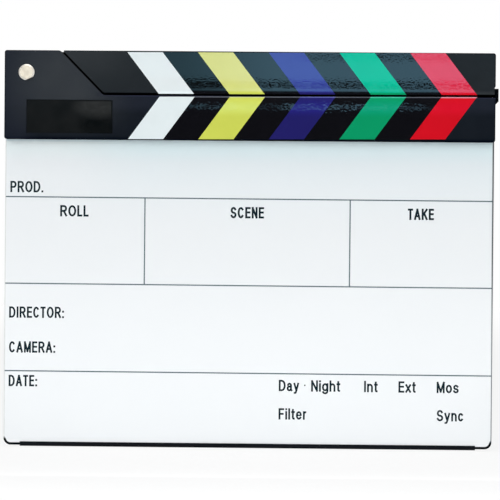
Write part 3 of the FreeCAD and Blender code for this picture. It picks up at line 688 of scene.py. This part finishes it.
def ink_stroke(path, width):
    """A printed stroke: a low domed section, depth = ink depth times the sine of the way round it, carried along a
    path on the board's face. Each station's section stands square to the mean of the runs beside it, and both ends
    reach half a width beyond the path, cut square."""
    runs = np.diff(path, axis=0)
    runs = runs / np.linalg.norm(runs, axis=1, keepdims=True)
    path = path.copy()
    path[0] -= 0.5 * width * runs[0]
    path[-1] += 0.5 * width * runs[-1]
    heading = np.concatenate([runs[:1], runs[:-1] + runs[1:], runs[-1:]])
    heading = heading / np.linalg.norm(heading, axis=1, keepdims=True)
    aside = np.stack([-heading[:, 1], heading[:, 0]], axis=-1)
    turn = np.linspace(0.0, np.pi, INK_STEPS)
    flat = path[:, None, :] - aside[:, None, :] * (0.5 * width * np.cos(turn))[None, :, None]
    depth = np.broadcast_to(INK_DEPTH * np.sin(turn), flat.shape[:2])
    points = np.stack([flat[..., 0], BOARD_FACE - depth, flat[..., 1]], axis=-1)
    index = np.arange(depth.size).reshape(depth.shape)
    following = np.roll(index, -1, axis=1)
    quads = np.stack([index[:-1], following[:-1], following[1:], index[1:]], axis=-1).reshape(-1, 4)
    fan = np.arange(1, INK_STEPS - 1)
    foot = np.stack([np.zeros_like(fan), fan + 1, fan], axis=-1)
    head = index[-1, 0] + foot[:, ::-1]
    return points.reshape(-1, 3), np.concatenate([halved(quads), foot, head])


def caption(word, left, foot, width, pen=CAPTION_PEN):
    """A word's strokes in millimetres, as wide as the pen. Letters follow each other with even gaps, and their
    widths stretch alike until the word has its width. A letter's strokes run between its left and right edges and
    from the foot to the cap height, less half a pen at each side."""
    tall = CAP_HEIGHT - pen
    own = np.array([LETTERS[letter][0] * CAP_HEIGHT for letter in word])
    own = np.where(own > 0.0, own - pen, 0.0)
    gaps = pen + LETTER_GAP * CAP_HEIGHT
    spare = width - pen - gaps * (len(word) - 1)
    own = own * (spare / own.sum() if own.sum() > 0.0 else 1.0)
    starts = left + 0.5 * pen + np.concatenate([[0.0], np.cumsum(own + gaps)[:-1]])
    return [
        ink_stroke(np.array([x, foot + 0.5 * pen]) + stroke * np.array([w, tall]), pen)
        for letter, x, w in zip(word, starts, own) for stroke in LETTERS[letter][1:]
    ]


# Each caption's word, left, foot and width, and its pen where it isn't the usual one; each ruled line's two ends.
CAPTIONS = (
    ("PROD.", -102.75, 109.2, 14.2), ("ROLL", -81.2, 98.95, 12.25, 0.83), ("SCENE", -7.85, 98.75, 14.4, 0.85),
    ("TAKE", 68.25, 98.65, 11.2, 0.85), ("DIRECTOR:", -102.9, 55.15, 23.65), ("CAMERA:", -102.85, 40.15, 19.95),
    ("DATE:", -102.9, 25.65, 12.3), ("Day", 13.5, 24.6, 8.7), (".", 24.4, 26.9, 0.55, 0.55),
    ("Night", 27.4, 24.55, 12.5), ("Int", 50.15, 24.5, 5.85), ("Ext", 64.9, 24.45, 7.4), ("Mos", 81.3, 24.4, 9.45),
    ("Filter", 13.5, 12.4, 11.9), ("Sync", 81.4, 12.3, 11.5),
)
RULES = (
    ((-104.4, 107.31), (104.3, 106.84)), ((-104.4, 70.02), (104.3, 69.56)), ((-104.4, 32.33), (104.3, 31.93)),
    ((-44.69, 107.18), (-44.75, 69.9)), ((43.52, 106.98), (43.46, 69.7)),
)


def print_fields():
    """The board's printed fields: its ruled lines and their captions, as ink on the front face."""
    pale = print_ink("rule_ink", (0.09, 0.135, 0.155), (0.16, 0.21, 0.23))
    deep = print_ink("caption_ink", (0.0005, 0.011, 0.017), (0.003, 0.02, 0.028))
    lines = joined([ink_stroke(np.array(ends), RULE_PEN) for ends in RULES])
    words = joined([stroke for entry in CAPTIONS for stroke in caption(*entry)])
    new_piece("field_lines", *lines, pale, "slate", "label_black")
    new_piece("field_captions", *words, deep, "slate", "label_black")


# The studio in metres: the floor's rings; the dark card, the heights of its clear strips, bar and slit, and how
# far their edges blur; the strength of the light from all round; and the lamps' place, target, size and watts.
FLOOR_RADII = np.array([0.2, 0.6, 1.2, 2.5, 6.0, 30.0])
FLOOR_SIDES, FLOOR_LEVEL = 96, -0.0002
FLOOR_NEAR_WHITE, FLOOR_FADE = 0.82, (0.5, 1.8)
CARD_HALF_WIDTH, CARD_DISTANCE, CARD_TOP = 0.6, -1.5, 0.284
STRIP_FOOT, BROW, SLIT = (0.2498, 0.2515), (0.2768, 0.2795, 0.0004), (0.2231, 0.2255, 0.0004)
UNDER_FOOT, UNDER_HEAD, UNDER_BLUR = 0.2411, 0.2454, 0.0003
SOFT_STRENGTH = 0.352
LAMPS = (
    ("overhead", (0.0, -0.35, 1.5), (0.0, -0.3, 0.0), (1.3, 1.3), 6.7),
    ("key", (-0.5, -1.25, 0.72), (0.0, 0.0, 0.09), (1.3, 0.6), 4.55),
    ("front", (0.3, -1.45, 0.055), (0.0, 0.0, 0.055), (1.1, 0.1), 0.9),
    ("foot", (0.0, -0.2, 0.03), (0.0, 0.0, 0.03), (0.9, 0.05), 0.207),
    ("toe", (0.0, -0.12, 0.008), (0.0, 0.0, 0.012), (0.8, 0.015), 0.031),
)


def pale_floor():
    """A wide pale floor under the board, rings of points round its middle: matt and shadowed near the object, and
    fading to plain white for seen rays further out."""
    f = Finish("pale_floor", Roughness=0.9, Specular_IOR_Level=0.0, Base_Color=rgb(0.95, 0.95, 0.95))
    seen, _ = f.seen_rays()
    share = f.times(seen, f.ease(f.vector("LENGTH", f.place), *FLOOR_FADE, FLOOR_NEAR_WHITE, 1.0))
    glow = f.put("ShaderNodeEmission", {"Color": rgb(1.0, 1.0, 1.0), "Strength": 1.0})
    f.show("Material Output", share, f.shader.outputs[0], glow.outputs[0])
    ring = np.linspace(0.0, 2.0 * np.pi, FLOOR_SIDES, endpoint=False)
    x, y = np.multiply.outer(FLOOR_RADII, np.cos(ring)), np.multiply.outer(FLOOR_RADII, np.sin(ring))
    points = np.stack([x, y, np.full_like(x, FLOOR_LEVEL)], axis=-1).reshape(-1, 3)
    index = np.arange(x.size).reshape(x.shape)
    following = np.roll(index, -1, axis=1)
    quads = np.stack([index[:-1], index[1:], following[1:], following[:-1]], axis=-1).reshape(-1, 4)
    floor = new_object("pale_floor", points.tolist(), quads.tolist() + [index[0].tolist()], f.material)


def slotted_card():
    """A dark card behind the camera that the gloss of the films shows. It has a clear strip below its top, with a
    dark bar over the right of it, a second clear strip, narrower and weaker towards the left, under a dark bar,
    and low down a slit that fades to the right, at the left and behind a post."""
    f = Finish("slotted_card", Roughness=0.9, Specular_IOR_Level=0.0)
    f.paint(f.blend(f.grain(0.1, 3.0), rgb(0.004, 0.004, 0.004), rgb(0.007, 0.007, 0.007)))
    x, z = f.axes()

    def within(low, high, blur):
        """1 between two heights and 0 outside, with soft edges."""
        return f.times(f.ease(f.less(z, low), -blur, blur), f.ease(f.less(z, high), blur, -blur))

    left = f.ease(x, -0.02, -0.09)
    above = f.ease(f.less(z, f.times(left, 0.0015)), *STRIP_FOOT)
    brow = f.times(within(*BROW), f.ease(x, 0.0, 0.05))
    under = within(UNDER_FOOT, f.less(UNDER_HEAD, f.times(left, 0.0018)), UNDER_BLUR)
    under = f.times(under, f.ease(left, 0.0, 1.0, 1.0, 0.7))
    post = f.ease(f.sum("ABSOLUTE", f.sum("ADD", x, 0.012)), 0.008, 0.028, 0.22, 1.0)
    post = f.times(post, f.ease(x, -0.04, -0.075, 1.0, 0.8))
    slit = f.times(within(*SLIT), f.times(f.ease(x, 0.18, 0.12), post))
    share = f.larger(f.less(above, brow), f.larger(under, slit))
    clear = f.put("ShaderNodeBsdfTransparent", {"Color": rgb(1.0, 1.0, 1.0)})
    f.show("Material Output", share, f.shader.outputs[0], clear.outputs[0])
    ends, heights = (-CARD_HALF_WIDTH, CARD_HALF_WIDTH), (0.0, CARD_TOP)
    corners = [(ends[i], CARD_DISTANCE, heights[j]) for i, j in ((0, 0), (1, 0), (1, 1), (0, 1))]
    card = new_object("slotted_card", corners, [(0, 1, 2, 3)], f.material)
    card.visible_camera = False


def studio_world():
    """Soft light from all round. Seen rays meet white; those by way of a gloss meet a cool window low in front,
    brighter to the right. The window lies where the rise z / -y is small and y is near -1."""
    world = bpy.data.worlds.new("studio")
    bpy.context.scene.world = world
    world.use_nodes = True
    f = Nodes(world.node_tree)
    axes = f.put("ShaderNodeSeparateXYZ", {0: f.put("ShaderNodeTexCoord").outputs["Generated"]}).outputs
    rise = f.sum("DIVIDE", axes[2], f.larger(f.times(axes[1], -1.0), 0.02))
    ahead = f.times(f.ease(axes[1], -0.8, -0.93), f.ease(rise, 0.16, 0.1))
    seen, gloss = f.seen_rays()
    pane = f.blend(f.ease(axes[0], -0.055, 0.0), rgb(0.45, 1.0, 1.3), rgb(1.0, 2.1, 2.85))
    sight = f.blend(f.times(ahead, gloss), rgb(1.0, 1.0, 1.0), pane)
    white = f.put("ShaderNodeBackground", {"Color": sight})
    soft = f.put("ShaderNodeBackground", {"Color": rgb(0.96, 1.0, 1.03), "Strength": SOFT_STRENGTH})
    f.show("World Output", seen, soft.outputs[0], white.outputs[0])


def soft_lamp(name, place, target, size, watts):
    """A soft white panel of that size in metres, turned so that its light falls from place towards target."""
    lamp = bpy.data.lights.new(name, "AREA")
    lamp.shape = "RECTANGLE"
    lamp.size, lamp.size_y = size
    lamp.energy = watts
    panel = bpy.data.objects.new(name, lamp)
    bpy.context.scene.collection.objects.link(panel)
    aim = np.array(target) - np.array(place)
    back = -aim / np.linalg.norm(aim)
    right = np.cross((0.0, 0.0, 1.0), back)
    right = right / np.linalg.norm(right)
    up = np.cross(back, right)
    rows = [[right[i], up[i], back[i], place[i]] for i in range(3)]
    panel.matrix_world = Matrix(rows + [[0.0, 0.0, 0.0, 1.0]])


def light_studio():
    """A broad panel overhead that lights the floor, a weaker key panel at the upper left in front, a long low panel
    in front, and two low strips for the board's foot."""
    for lamp in LAMPS:
        soft_lamp(*lamp)


# The camera: its place in metres, its small turns in radians, its lens in pixels of a frame 500 wide, and the
# width of its sensor in millimetres.
CAMERA_PLACE = (0.0196145, -1.0, 0.0947484)
PAN, TILT, ROLL = 0.0190, 0.0096, 0.0083
LENS_PIXELS, FRAME_PIXELS, SENSOR = 2323.9, 500.0, 36.0


def set_camera():
    """The viewpoint found from the photograph's outline: a metre in front, about level with the slate's middle,
    through a long lens. The camera looks along +Y, panned, tilted and rolled a little."""
    camera = bpy.data.cameras.new("camera")
    camera.sensor_width = SENSOR
    camera.lens = SENSOR * LENS_PIXELS / FRAME_PIXELS
    camera.clip_start = 0.05
    seat = bpy.data.objects.new("camera", camera)
    bpy.context.scene.collection.objects.link(seat)
    level = Matrix.Rotation(0.5 * math.pi - TILT, 4, "X")
    turn = Matrix.Rotation(PAN, 4, "Z") @ level @ Matrix.Rotation(ROLL, 4, "Z")
    seat.matrix_world = Matrix.Translation(CAMERA_PLACE) @ turn
    bpy.context.scene.camera = seat


set_camera()
dress_nodes()
parting_shade_slivers()
film_lips()
print_fields()
pale_floor()
slotted_card()
studio_world()
light_studio()
bpy.context.scene.view_settings.view_transform = "Standard"
